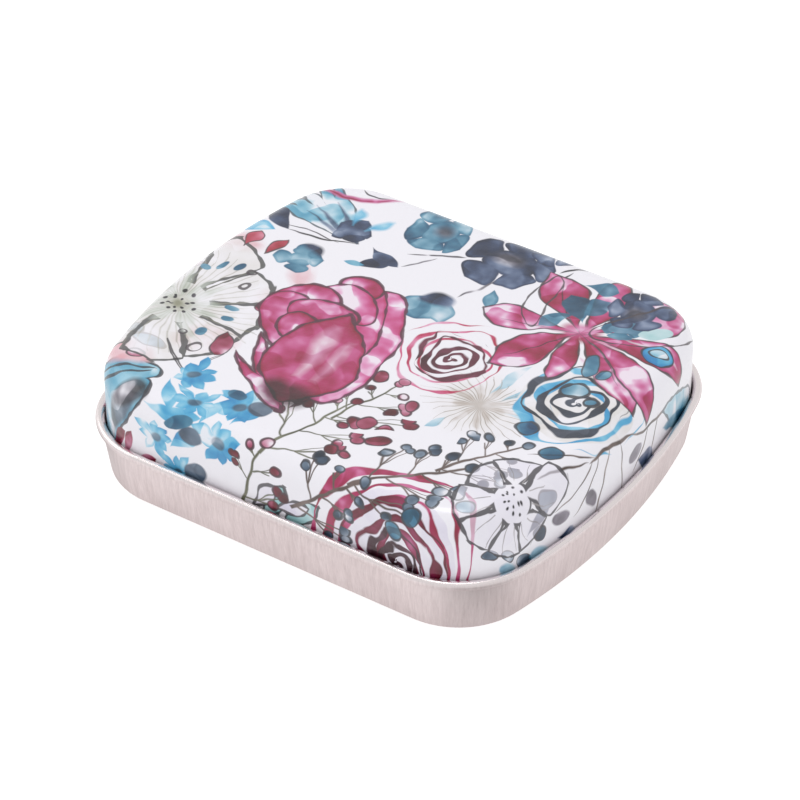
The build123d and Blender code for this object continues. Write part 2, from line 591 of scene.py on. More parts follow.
def flower_nodes(m, point, middle, turn, size, count, width, belly, uneven, seed, joined, heart):
    """Petals all round a middle, each a little different."""
    along, across = m.own(point, middle, turn)
    spread = m.length(m.join(along, across))
    step = 2 * math.pi / count
    angle = m.math("ARCTAN2", across, along)
    number = m.math("ROUND", angle / step)
    number = m.math("WRAP", number, count, 0.0)
    aside = m.math("WRAP", angle, step * 0.5, step * -0.5)
    luck = m.chance(number + seed)
    reach = size * (1.0 - luck * uneven)
    out = m.math("COSINE", aside) * spread
    share = m.min(out / reach, 1.0)
    side = m.math("SINE", aside) * spread
    lean = (luck - 0.5) * (uneven * out)
    side = abs(side + lean * share)
    edge = leaf_side(m, side, m.max(share, 0.0), reach, width, belly)
    border = abs(aside) - step * 0.5
    border = m.mul_add(border, spread, joined)
    petals = m.max(m.max(edge, out - reach), border)
    return m.min(petals, spread - size * heart), share


def rays_nodes(m, point, middle, turn, rx, ry, count, width, hollow):
    """Fine lines that fan out all round from a middle."""
    along, across = m.own(point, middle, turn)
    along = along / rx
    across = across / ry
    spread = m.length(m.join(along, across))
    angle = m.math("ARCTAN2", across, along) + m.math("SINE", spread * 4.0) * 0.06
    spoke = angle * (count * (0.5 / math.pi))
    saw = m.math("PINGPONG", spoke, 0.5)
    luck = m.chance(m.math("FLOOR", spoke))
    gap = rx * (2 * math.pi) / count
    off = saw * spread * gap
    beyond = (spread + m.mul_add(luck, 0.35, -1.0)) * rx
    within = (hollow - spread) * rx
    off = off - width * 0.5
    return m.max(off, m.max(beyond, within)), spread


def specks_nodes(m, point, middle, turn, radius, count, size):
    """A ring of small dots round a middle."""
    along, across = m.own(point, middle, turn)
    spread = m.length(m.join(along, across))
    spoke = m.math("ARCTAN2", across, along) * (count * (0.5 / math.pi))
    luck = m.chance(m.math("FLOOR", spoke + 0.5))
    gap = radius * (2 * math.pi) / count
    aside = m.math("WRAP", spoke, 0.5, -0.5) * gap
    ring = spread - radius * m.mul_add(luck, 0.45, 0.7)
    return m.length(m.join(aside, ring)) - size, spread


def coil_nodes(m, point, middle, turn, radius, turns, width, shake, inner):
    """Loose scribbled rings round a middle, as in a quickly drawn rose."""
    q = m.local(point, middle, turn, m.join(radius, radius, 1.0))
    shaken = (m.noise(q, 1.3, 0.5) - 0.5) * shake
    along, across = m.split(q)
    spread = m.length(q) + shaken
    angle = m.math("ARCTAN2", across, along)
    lobes = m.math("SINE", m.mul_add(spread, 9.0, angle * 3.0))
    phase = m.mul_add(lobes, 0.16, m.mul_add(angle, 0.5 / math.pi, spread * turns))
    saw = m.math("PINGPONG", phase, 0.5)
    gap = radius / turns
    swell = m.ramp(m.noise(q, 2.2, 0.0), 0.3, 0.7, 0.3, 1.5) * width
    off = saw * gap - swell * 0.5
    beyond = (spread - 1.0) * radius
    within = (inner - spread) * radius
    return m.max(off, m.max(beyond, within)), spread


def sprig_places(m, point, middle, turn, length, spacing, reach, seed):
    """Place beside the nearest of a stem's side shoots, which bow forwards on both sides."""
    along, across = m.own(point, middle, turn)
    side = m.math("SIGN", across)
    out = abs(across)
    start = (along - bowed(m, out)) / spacing
    start = m.mul_add(side, 0.22, start)
    number = m.math("ROUND", start)
    luck = m.chance(m.mul_add(side, 31.7, number + seed))
    beside = m.math("WRAP", start, 0.5, -0.5) * spacing
    foot = m.mul_add(side, -0.22, number) * spacing
    left = 1.1 - foot / length
    most = reach * left * m.mul_add(luck, 0.5, 0.75)
    ends = m.max(0.4 - foot, foot - length * 0.9)
    return along, out, beside, most, ends * 9.0, luck


def bowed(m, out):
    """How far along its stem a side shoot has moved, at some distance out."""
    return m.math("POWER", out, 1.2) * 0.6


def stems_nodes(m, point, middle, turn, length, spacing, reach, seed, width):
    """A sprig's stem and its side shoots, forked at their tips."""
    along, out, beside, most, ends, _ = sprig_places(m, point, middle, turn, length, spacing, reach, seed)
    half = width * 0.5
    thin = m.mul_add(along / length, -0.5, 1.3) * half
    past = m.mul_add(length, -0.5, abs(m.mul_add(length, -0.5, along)))
    stem = m.max(out - thin, past)
    shoot = abs(beside) * 0.8
    shoot = m.max(shoot, out - most)
    rise = m.mul_add(most, -0.4, out)
    fork = abs(m.mul_add(rise, -0.5, abs(beside)))
    fork = m.max(fork, m.max(rise * -1.0, m.mul_add(most, -0.45, rise)))
    shoot = m.min(shoot, fork) - half * 0.6
    return m.min(stem, m.max(shoot, ends)), 0.5


def berries_nodes(m, point, middle, turn, length, spacing, reach, seed, size):
    """The berries at the tips of a sprig's side shoots, and one on its stem's end."""
    along, out, beside, most, ends, luck = sprig_places(m, point, middle, turn, length, spacing, reach, seed)
    radius = size * m.mul_add(luck, 0.4, 0.75)

    def berry(beside_it, height):
        forward = beside_it + (bowed(m, out) - bowed(m, height))
        return m.length(m.join(forward, out - height))

    tip = berry(beside, m.mul_add(radius, 0.4, most))
    aside = m.math("SIGN", beside) * (most * 0.24)
    forked = berry(beside - aside, most * 0.88)
    forked = m.mul_add(m.math("GREATER_THAN", 2.8, most), 9.0, forked)
    tips = m.min(tip, forked) - radius
    last = m.length(m.join(along - m.mul_add(size, 0.8, length), out))
    return m.min(m.max(tips, ends), last - size), luck


SHAPES = {
    kind: group(kind, "v:Point v:Middle v:Turn " + sizes, "Distance Share", build)
    for kind, sizes, build in (
        ("petal", "Length Width Belly Lean", petal_nodes),
        ("oval", "RX RY Lean", oval_nodes),
        ("stroke", "Half_Length Half_Width Rise", stroke_nodes),
        ("flower", "Size Count Width Belly Uneven Seed Joined Heart", flower_nodes),
        ("rays", "RX RY Count Width Hollow", rays_nodes),
        ("specks", "Radius Count Size", specks_nodes),
        ("coil", "Radius Turns Width Shake Inner", coil_nodes),
        ("stems", "Length Spacing Reach Seed Width", stems_nodes),
        ("berries", "Length Spacing Reach Seed Size", berries_nodes),
    )
}


class Shape(namedtuple("Shape", "kind x y turn sizes centre reach")):
    """A drawn shape: its kind, place, turn and sizes, and its box's middle and reach."""

    def near(self, low, high):
        return all(a - self.reach < c < b + self.reach for a, c, b in zip(low, self.centre, high))

    def draw(self, m):
        """Distance and share sockets for this shape."""
        turn = (0, 0, math.radians(self.turn))
        return m.use(SHAPES[self.kind], m.point, (self.x, self.y, 0), turn, *self.sizes)


def halfway(x, y, length, turn):
    """The middle of a line from a point."""
    angle = math.radians(turn)
    return x + math.cos(angle) * length / 2, y + math.sin(angle) * length / 2


def petal(x, y, length, width, turn, belly=0.6, lean=0.0):
    reach = length / 2 + abs(lean) + width / 2
    return Shape("petal", x, y, turn, (length, width, belly, -lean), halfway(x, y, length, turn), reach)


def oval(x, y, rx, ry, turn=0, lean=0.0):
    return Shape("oval", x, y, turn, (rx, ry, lean), (x, y), max(rx, ry) + abs(lean))


def stroke(x0, y0, x1, y1, width, bow=0.0):
    """A brush stroke between two points that bows aside by some millimetres."""
    turn = math.atan2(y1 - y0, x1 - x0)
    x = (x0 + x1) / 2 - math.sin(turn) * bow
    y = (y0 + y1) / 2 + math.cos(turn) * bow
    half = math.dist((x0, y0), (x1, y1)) / 2
    sizes = (half, width / 2, bow)
    return Shape("stroke", x, y, math.degrees(turn), sizes, (x, y), half + abs(bow) + width)


def flower(x, y, size, count, width, turn=0, belly=0.7, uneven=0.2, seed=0.0, heart=0.46, joined=-9.0):
    """Petals round a solid heart; joined is 0 to draw the lines between them too."""
    sizes = (size, count, width, belly, uneven, seed, joined, heart)
    return Shape("flower", x, y, turn, sizes, (x, y), size)


def rays(x, y, rx, ry, count, hollow, width=0.09):
    return Shape("rays", x, y, 0, (rx, ry, count, width, hollow), (x, y), max(rx, ry))


def specks(x, y, radius, count, size, turn=0):
    return Shape("specks", x, y, turn, (radius, count, size), (x, y), radius * 1.2 + size)


def coil(x, y, radius, turns, width, turn=0, shake=0.6, inner=0.0):
    return Shape("coil", x, y, turn, (radius, turns, width, shake, inner), (x, y), radius * 1.2)


def sprig(x, y, turn, length, spacing, reach, seed, width, size):
    """The stems and the berries of one sprig."""
    grown = (length, spacing, reach, seed)
    box = halfway(x, y, length, turn), length / 2 + reach * 1.5
    stems = Shape("stems", x, y, turn, (*grown, width), *box)
    return stems, Shape("berries", x, y, turn, (*grown, size), *box)


# -------------------------------------------------------------- watercolours
GROUND = tint(243, 241, 248)


def wash_nodes(m, under, distance, share, pigment, colour, depth, swing, foot, pool, glaze, edge, strength):
    """Watercolour inside a shape: thicker where the pigment ran, at its foot and at its rim."""
    level = m.mul_add(pigment - 0.5, swing, depth)
    fade = 1.0 - share
    level = m.mul_add(fade * abs(fade), foot, level)
    level = m.mul_add(m.ramp(distance, -0.55, 0.0), pool, level)
    thick = m.node("ShaderNodeGamma", colour, m.max(level, 0.04))
    ground = m.mix(glaze, GROUND, under)
    painted = m.mix(1.0, ground, thick, "MULTIPLY")
    cover = m.ramp(distance, edge * -1.0, edge, strength, 0.0)
    return (m.mix(cover, under, painted),)


def line_nodes(m, under, distance, pigment, colour, width, strength):
    """An ink line round a shape, thin and thick by turns."""
    uneven = m.ramp(pigment, 0.3, 0.7, 0.5, 1.2) * width
    off = abs(m.mul_add(width, 0.2, distance)) - uneven
    return (m.mix(m.ramp(off, -0.05, 0.05, strength, 0.0), under, colour),)


WASH_SOCKETS = "c:Under Distance Share Pigment c:Colour Depth Swing Foot Pool Glaze Edge Strength"
WASH = group("wash", WASH_SOCKETS, "c:Result", wash_nodes)
LINE = group("line", "c:Under Distance Pigment c:Colour Width Strength", "c:Result", line_nodes)
LINE_STRENGTH = 0.9


# Each coat's place is tied to the coat below by far less than can be seen, so
# that the renderer works the coats out one after another.
TIE = 1e-7


class Paint:
    """One coat over some shapes: a watercolour, an ink line round it, or both."""

    def __init__(self, colour, *shapes, depth=1.0, swing=2.4, foot=0.0, pool=0.0, glaze=0.0, edge=0.07,
                 strength=1.0, line=None, width=0.16):
        self.colour = colour
        self.shapes = shapes
        self.wash = (depth, swing, foot, pool, glaze, edge, strength)
        self.line = line
        self.width = width

    def lay(self, m, under, low, high):
        """Paints the shapes that reach a tile over what is already there."""
        near = [shape for shape in self.shapes if shape.near(low, high)]
        if not near:
            return under
        m.point = m.vector("MULTIPLY_ADD", under, (TIE, TIE, TIE), m.moved)
        distance, share = near[0].draw(m)
        for shape in near[1:]:
            distance = m.min(distance, shape.draw(m)[0])
        if self.colour:
            share = share if len(near) == 1 else 1.0
            under = m.use(WASH, under, distance, share, m.pigment, self.colour, *self.wash)[0]
        if self.line:
            under = m.use(LINE, under, distance, m.shake, self.line, self.width, LINE_STRENGTH)[0]
        return under


INK = tint(46, 42, 48)
SOFT_INK = tint(66, 56, 62)
PLUM_INK = tint(78, 34, 54)
LEAF_INK = tint(72, 86, 96)
STEM = tint(108, 92, 84)
OLIVE = tint(100, 102, 76)
HAIR = tint(176, 166, 150)
ROSE = tint(206, 70, 130)
CRIMSON = tint(182, 44, 100)
PINK = tint(226, 150, 190)
BLUSH = tint(240, 196, 200)
AQUA = tint(128, 192, 212)
SKY = tint(102, 190, 224)
TEAL = tint(74, 134, 160)
NAVY = tint(58, 76, 108)
SLATE = tint(84, 104, 122)
BERRY = tint(140, 40, 66)
MINT = tint(180, 222, 220)
GREY = tint(140, 134, 144)
CREAM = tint(238, 236, 228)
RED_BERRIES = dict(line=tint(70, 40, 50), width=0.14)
BLUE_BERRIES = dict(line=tint(56, 58, 66), width=0.16)


# -------------------------------------------------------------------- motifs
def each(shape, *rows):
    """One shape for each row of its places and sizes."""
    return [shape(*row) for row in rows]


def ovals(colour, *rows, **look):
    return Paint(colour, *each(oval, *rows), **look)


def petals(colour, *rows, **look):
    return Paint(colour, *each(petal, *rows), **look)


def strokes(colour, *rows, **look):
    return Paint(colour, *each(stroke, *rows), **look)


def peony():
    """A round bud of folded petals: a row holds a petal's colour, depth and foot, and then its oval."""
    look = dict(line=PLUM_INK, width=0.2, pool=0.6)
    folded = (
        (ROSE, 0.42, -0.5, -4.6, -4.6, 11.4, 5.6, 100, 1.3), (ROSE, 0.38, -0.5, -6.2, -2.4, 8.6, 4.2, 106, 1),
        (CRIMSON, 0.8, -0.6, -9, 5.6, 2.7, 1.7, -8, 0.3), (ROSE, 0.46, -0.5, -8.8, 2.6, 4.6, 2.6, -16, 0.8),
        (CRIMSON, 0.8, -0.7, -13.2, 0.2, 4.4, 3.6, 38, 0.6),
        (CRIMSON, 0.6, -0.3, -12.4, -3.8, 5.8, 4, 122, -0.5),
        (CRIMSON, 0.58, -0.6, -9.9, -1.2, 4.2, 3.2, 8, -0.5),
        (CRIMSON, 0.66, -0.6, -10.7, -4.8, 3, 2.9, 60, -0.4),
    )
    return [
        petals(CRIMSON, (-3.6, -18.4, 14.5, 2.6, 141, 0.5, -1.2), (-3.4, -18.8, 12.6, 2, 158, 0.4, -2),
               depth=0.4, **look),
        petals(CRIMSON, (-3.2, -17.8, 13.4, 3.2, 68, 0.62, 0.8), depth=0.65, **look),
        *(ovals(colour, sizes, depth=depth, foot=foot, **look) for colour, depth, foot, *sizes in folded),
        petals(CRIMSON, (-4.6, -17.6, 19, 11.6, 97, 0.42, 0.6), depth=0.85, swing=1.5, foot=0.35, **look),
        petals(PINK, (-5.6, -12.4, 10.6, 1.9, 97), (-3.4, -12.4, 8, 0.9, 93),
               depth=0.5, edge=0.7, strength=0.7),
        ovals(tint(86, 40, 56), (-4.9, -16.4, 3.4, 2, 0, -0.8), depth=1.1, edge=0.8, strength=0.85, glaze=1),
    ]


def lily(x, y):
    """Long petals round a middle, with blue leaves and a dark bloom over them."""
    spread = (              # the depth of colour, and then the petal's length, width, turn, belly and lean
        (0.5, 13.4, 5, 137, 0.66, 0.8), (0.5, 12, 4.6, 98, 0.66), (0.4, 12.6, 7, 53, 0.7, 0.8),
        (0.35, 13, 5.4, 195, 0.7, -1.6), (0.45, 12.2, 5.6, 234, 0.66, 1.2), (0.6, 9.4, 3.4, 276),
        (0.5, 14.4, 4.4, 318, 0.64, 1.4), (0.55, 15.4, 4, 340, 0.66, -1.6), (0.6, 14.2, 5, 8, 0.66, 0.8),
    )
    look = dict(line=SOFT_INK, width=0.14, swing=2.8, foot=0.8, pool=0.4)
    creases = [(x + 10 * math.cos(turn), y + 10 * math.sin(turn)) for turn in (3.4, 4.1, 5.6, 0.2, 2.4)]
    return [
        *(petals(CRIMSON, (x, y, *sizes), depth=depth, **look) for depth, *sizes in spread),
        Paint(CRIMSON, oval(x, y, 2.3, 2), petal(x, y, 5.4, 1, 352, 0.4), petal(x, y, 4.4, 0.8, 200, 0.4),
              depth=0.9, edge=0.5, strength=0.9),
        strokes(INK, *((x, y, *end, 0.13, 0.5) for end in creases), depth=0.8),
        petals(PINK, (19.5, 7.6, 8.2, 0.9, 330, 0.4, 0.6), (21.5, 13.9, 7.4, 0.8, 8), depth=0.2, edge=0.2,
               strength=0.9),
        petals(TEAL, (15.8, 14.6, 5.6, 2.8, 140), (14, 15.6, 5.4, 2.4, 246), (13.4, 15, 5, 2.8, 60),
               glaze=0.4),
        Paint(TEAL, petal(11.4, 20.6, 4.6, 2.8, 8), flower(20, 16.2, 3, 5, 2.8), glaze=0.2),
        ovals(MINT, (23.4, 17.2, 1.8, 1.2, 50), depth=0.8),
        Paint(NAVY, flower(19.5, 19.8, 4.4, 6, 3, 20, 0.74, 0.25, 4), depth=0.9, swing=2, pool=0.4),
        ovals(INK, (19.4, 19.4, 1.2, 0.9), depth=0.6, edge=0.5, strength=0.8),
        ovals(SKY, (26.2, 13.8, 2, 1.9), depth=1.3, line=INK, width=0.14, pool=0.8),
        ovals(AQUA, (26.1, 14.1, 1.2, 0.9, 20), depth=0.6, line=INK, width=0.14),
        ovals(TEAL, (21, 7.2, 1.9, 0.9, 96), (22.8, 6.6, 1.1, 0.7, 60), depth=0.8, line=SOFT_INK, width=0.1),
        ovals(None, (9.2, 15.4, 5.6, 1.5, 104, 0.4), (22.6, 17.6, 6.6, 3.4, 54, -0.8), line=SOFT_INK,
              width=0.14),
    ]


BACK_ROSES = [
    Paint(tint(206, 70, 112), coil(6.9, 0.2, 6.9, 4.6, 0.42, 10, 0.3, 0.52)),
    Paint(tint(96, 28, 50), coil(7, 0.4, 4.6, 3.6, 0.7, 60, 0.4), swing=1),
    ovals(CREAM, (23.4, 0.2, 6.8, 6), depth=0.6, strength=0.85),
    Paint(SKY, coil(23.6, 0, 7.6, 3.8, 0.85, -30, 0.3, 0.45), depth=1.1),
    Paint(tint(56, 64, 78), coil(23, 0.4, 6.2, 3.8, 0.72, 40, 0.4), swing=1),
    ovals(TEAL, (21.7, 2.6, 1.6, 1.4), (24.6, 1.4, 1, 0.9), depth=0.9, line=INK, width=0.3),
]
FRONT_ROSE = [
    ovals(GROUND, (17.2, -31.4, 9.6, 8.4), strength=0.8),
    Paint(tint(180, 48, 98), coil(17.2, -31.8, 12.6, 6, 0.95, 0, 0.15, 0.56)),
    Paint(tint(136, 30, 70), coil(17.2, -31.8, 8, 4.2, 1.15, 90, 0.3, 0.3), swing=1.4, pool=0.3),
    Paint(tint(66, 24, 40), coil(17, -31.8, 4.4, 3, 0.95, 30, 0.4), swing=1),
]


def anemone(x, y):
    """A pale flower in ink with fine veins, a ring of specks and dots about it."""
    return [
        ovals(BLUSH, (-18.4, -12.4, 3.6, 2.4, 20), (-15.6, -2.4, 2.8, 1.8, -20), (-27, 5.8, 3.4, 1.7),
              (-17, 4, 2.4, 1.4, 120), edge=0.8, strength=0.8),
        Paint(CREAM, flower(x, y, 14.2, 9, 9.6, 8, 0.74, 0.3, 2, 0.3, 0), depth=0.5, foot=0.5, strength=0.7,
              line=tint(52, 54, 52), width=0.3),
        Paint(tint(150, 148, 120), rays(x, y, 11.6, 11.6, 46, 0.12), depth=0.8, edge=0.12, strength=0.75),
        Paint(tint(206, 216, 200), flower(x, y, 8.6, 13, 1.3, 0, 0.6, 0.5, 7, 0.1), edge=0.3, strength=0.6),
        ovals(tint(150, 146, 100), (x, y, 1.1, 1.1), edge=0.8, strength=0.7),
        Paint(INK, specks(x, y, 2.3, 10, 0.3), specks(x, y, 1.2, 6, 0.26, 30)),
        ovals(TEAL, (-18.2, -7.8, 0.7, 0.6), (-19.8, -11.6, 0.7, 0.8), (-25.6, 0.4, 0.5, 0.9),
              (-23.7, 1, 0.5, 0.8), (-18.9, -5.6, 0.9, 0.5), (-27.2, -0.8, 0.9, 0.5), depth=0.9),
        Paint(BERRY, petal(-15.8, -14.4, 4.2, 2.6, 104, 0.4), oval(-15.6, -3.8, 1.5, 1.1, 20),
              oval(-13.6, -7, 0.9, 0.8), depth=0.9, line=SOFT_INK, width=0.1),
        ovals(None, (-14.4, -5.4, 0.7, 0.6), (-18.8, -14.4, 0.8, 0.7), (-21.6, -12.6, 0.5, 0.5),
              (-21.8, 0.6, 0.6, 0.5), (-20.4, -1.8, 0.5, 0.5), line=SOFT_INK),
        strokes(None, (-22, -14.8, -15, -18.6, 0.3, -0.8), (-15.2, -18.4, -15, -13.6, 0.3, 0.5), line=INK,
                width=0.12),
    ]


LEFT_CORNER = [
    ovals(AQUA, (-25.4, -23.2, 7.4, 2.7, 12, -0.8), (-24.2, -27.2, 7.4, 2.9, 26, -0.8), depth=0.9,
          foot=-0.5, pool=0.5, line=INK, width=0.26),
    ovals(BLUSH, (-24.2, -19.2, 2.8, 1.9), depth=0.9, edge=0.4),
    ovals(BERRY, (-23.7, -19.3, 1, 0.8), depth=0.5, line=SOFT_INK),
    ovals(TEAL, (-23.5, -16.4, 1.9, 1, 10), (-26.4, -15.2, 1.6, 0.9, -20), line=SOFT_INK, width=0.14),
    petals(INK, (-27.8, -31, 12, 3.4, 38, 0.62), depth=0.6, swing=2, edge=0.3, strength=0.85),
    ovals(SLATE, (-21.4, -27, 2.6, 1.1, 34), depth=0.6, edge=0.4, strength=0.9),
    ovals(INK, (-20.2, -24.6, 2.4, 1.5, 20, 0.3), depth=0.8, edge=0.3, strength=0.85),
    petals(BERRY, (-26.4, -31.2, 5.4, 2.2, 14), (-22.6, -33.4, 4.8, 1.8, 52), (-19.4, -33.4, 3.4, 1.6, 20),
           depth=0.9),
    strokes(None, (-28, -21.6, -19.6, -20.4, 0.2, -0.7), (-27.6, -22.6, -20, -21.2, 0.2, -1), line=INK),
]


def posy(x, y, size):
    """A small flower of eight pointed petals, each turned and grown its own way."""
    return flower(x, y, size * 1.15, 8, size * 0.46, 17 * size, 0.58, 0.45, size, 0.3)


POSIES = (
    (-14.9, -18.4, 3.0), (-12.6, -22.4, 2.8), (-15.9, -28.9, 3.1), (-7.6, -26.4, 3.9), (-7.4, -20.6, 3.4),
    (-12.8, -32.8, 2.8),
)
BLUE_POSIES = [
    petals(SKY, (-17.8, -25.2, 7, 2, 6), (-16.8, -20.6, 4.6, 1.7, 300), (-11, -25.4, 5.4, 1.8, 70),
           (-11.2, -20, 5.2, 1.6, 8), (-6.6, -23.6, 4.8, 1.6, 66), (-13.6, -29.6, 4.6, 2.6, 50), depth=0.9,
           swing=3),
    Paint(SKY, *each(posy, *POSIES), depth=0.8, swing=3.4, pool=0.3),
    ovals(SLATE, *((x, y, size * 0.26, size * 0.2, 20) for x, y, size in POSIES), edge=0.15, strength=0.85),
    ovals(SLATE, (-11.4, -27, 1.5, 1.1, -20), (-5.4, -19.6, 1.4, 1.1), (-10.2, -32, 1.5, 1.2, 30),
          swing=1.6, edge=0.12),
    ovals(TEAL, (-9.2, -19.2, 1.2, 0.8), (-13.2, -25.6, 1.6, 0.9, 20), depth=0.9),
]


def bloom(x, y, size, width, turn, seed):
    """A round flower of five broad petals."""
    return flower(x, y, size, 5, width, turn, 0.72, 0.25, seed)


BACK_BLOOMS = [
    Paint(TEAL, bloom(-8.2, 20.4, 5.1, 4.6, 54, 3), depth=0.9, foot=0.5, pool=0.5),
    Paint(NAVY, bloom(2.2, 19.8, 6.2, 5.4, 18, 9), depth=0.9, swing=2, foot=0.4, pool=0.5),
    ovals(INK, (-8, 20.6, 1.1, 0.9), (1.7, 20.4, 1.6, 1.3), depth=0.6, edge=0.6, strength=0.8),
    Paint(NAVY, bloom(5.4, 26, 4.4, 3.8, 36, 1), depth=0.9, pool=0.5),
    strokes(INK, (-8.4, 14.6, -2.4, 18.2, 0.34, 0.2), (-8, 11.8, -5.4, 15.8, 0.26),
            (0.5, 10.2, 2.4, 15.6, 0.28), depth=0.8),
    Paint(INK, stroke(9.6, 17.8, 9.3, 22.2, 0.3, 0.4), stroke(8, 21.4, 10.6, 23.6, 0.34, 0.3),
          petal(9.5, 17.4, 3.6, 1.5, 85), depth=0.8),
    petals(TEAL, (4.5, 10.6, 3.8, 2.2, 112, 0.5), depth=0.85, pool=0.5),
    Paint(TEAL, petal(-0.8, 9.6, 5.6, 3.2, 300), petal(-0.8, 9.6, 5.4, 3, 240), oval(-0.8, 6.6, 2.2, 2.4),
          depth=0.8, swing=1.8, pool=0.5),
    ovals(NAVY, (-0.8, 8.8, 1.9, 1.2, 6, 0.5), edge=0.3),
    Paint(TEAL, flower(-19, 6.6, 3.4, 4, 2.8, 20, 0.66, 0.2, 5), oval(-19, 8.4, 1.9, 1.1, -10), depth=0.85,
          swing=1.8, pool=0.4),
    ovals(NAVY, (-18.6, 9.3, 1.7, 0.6, -14, 0.4), edge=0.3),
    petals(NAVY, (-12.6, 8.6, 5.2, 2.2, 42, 0.6, 0.6), (-12.8, 13.4, 5, 2.2, 330, 0.6, 0.6), depth=1.1),
    petals(AQUA, (-11.4, 9.4, 2.6, 1.2, 196, 0.5), depth=1.2),
]


def fan(x, y, *rows):
    """Petals that share a foot: length, width, turn, belly and lean of each."""
    return [petal(x, y, *row) for row in rows]


BACK_CORNER = [
    Paint(AQUA, *fan(-14.8, 12.8, *((14.2, 1.9, turn, 0.62, 0.5) for turn in (168, 160, 151, 142, 133))),
          depth=0.8, swing=3.4, line=LEAF_INK),
    Paint(NAVY, *fan(-14.8, 12.8, (9.4, 0.9, 155, 0.34), (9, 0.8, 138, 0.34), (9.2, 0.8, 164, 0.34)),
          edge=0.15, strength=0.9),
    strokes(INK, (-24.2, 10.8, -14.6, 12.8, 0.3, -0.5), (-25, 11.6, -16.6, 11.6, 0.22, 0.3), depth=0.8),
    petals(NAVY, (-24, 10.8, 6, 2.6, 136, 0.5)),
    petals(SKY, (-24.8, 10.2, 4.6, 3, 188, 0.5), depth=0.8, pool=0.4),
    Paint(NAVY, flower(-16.6, 14.8, 3.2, 5, 2.4, 18, 0.6, 0.3, 6), pool=0.3),
    petals(SKY, (-15.6, 15.6, 3.6, 1.3, 66), (-17.4, 15.8, 3.4, 1.3, 108), edge=0.25),
    petals(tint(176, 44, 64), (-25.4, 5, 3.8, 1.7, 92), (-22.7, 5.2, 3.8, 1.5, 84), line=SOFT_INK, width=0.1),
    strokes(PINK, (-26.4, 20.6, -15.4, 23, 1, -1.3), edge=0.2),
    strokes(CRIMSON, (-25.4, 20.6, -16, 22.6, 0.4, -1.2), depth=0.8, edge=0.15),
    strokes(INK, (-20.4, 23.4, -16.6, 22.6, 0.3, -0.7), depth=0.8),
]

HAIR_FLOWER = [
    ovals(CREAM, (14.6, -5.6, 5, 4.6), edge=1.8, strength=0.6),
    petals(AQUA, (13.8, -3.4, 7.4, 1.4, 78), (15.6, -3.6, 6, 1.2, 62), (12, -9.4, 3, 1.3, 240),
           (17.6, -5.2, 4, 1.3, 8), depth=0.6, strength=0.8),
    Paint(HAIR, rays(14.4, -5.4, 7.2, 6.4, 34, 0), edge=0.06),
    Paint(tint(214, 206, 196), flower(14.4, -5.4, 5.2, 9, 0.9, 10, 0.6, 0.4, 5, 0.1), edge=0.2, strength=0.7),
]


def ink_flower(x, y):
    """A flower in ink alone, over a veil of the ground's colour."""
    return [
        Paint(GROUND, flower(x, y, 7.8, 7, 6.8, 12, 0.74, 0.2, 3, 0.3, 0), strength=0.45, line=INK,
              width=0.22),
        Paint(tint(150, 144, 140), rays(x, y, 6.2, 6.2, 15, 0.4), edge=0.06),
        Paint(INK, specks(x, y, 1.5, 9, 0.18), specks(x, y, 0.8, 5, 0.16, 30)),
    ]


def sprig_coats(colour, berry_colour, look, *rows):
    """The stems of some sprigs in one coat, and their berries in the next."""
    stems, berries = zip(*each(sprig, *rows))
    return [Paint(colour, *stems, swing=1.0), Paint(berry_colour, *berries, swing=3.4, **look)]


SPRIGS = [
    *sprig_coats(OLIVE, BERRY, RED_BERRIES,
                 (-3.8, -32.6, 74, 8.8, 4.0, 4.4, 1, 0.34, 0.66),
                 (-1.6, -25.0, 70, 12.6, 3.8, 6.4, 2, 0.32, 0.68),
                 (2.2, -16.8, 74, 9.6, 3.2, 4.6, 3, 0.28, 0.64)),
    *sprig_coats(STEM, SLATE, BLUE_BERRIES,
                 (2.2, -30.4, 37, 11.0, 4.0, 5.6, 5, 0.42, 0.72),
                 (9.4, -24.8, 40, 13.0, 3.8, 6.4, 6, 0.38, 0.76),
                 (17.0, -18.0, 58, 11.0, 3.2, 4.6, 7, 0.32, 0.7)),
    ovals(BERRY, (2.3, -7, 0.9, 1.1), (5.4, -6.4, 0.8, 0.7), (7.8, -10.2, 0.8, 0.9), (6, -15, 1, 1),
          (9, -17, 1.1, 0.9), (5.6, -21, 0.9, 0.9), line=RED_BERRIES["line"], width=0.12),
    ovals(TEAL, (20.8, -6, 1.2, 1), (25.8, -8.2, 1.2, 1.3), (22.6, -21.4, 1.1, 0.8), (18.2, -25.4, 1.2, 1),
          (16.2, -27.6, 1.1, 1.1), line=BLUE_BERRIES["line"], width=0.12, glaze=0.5),
]

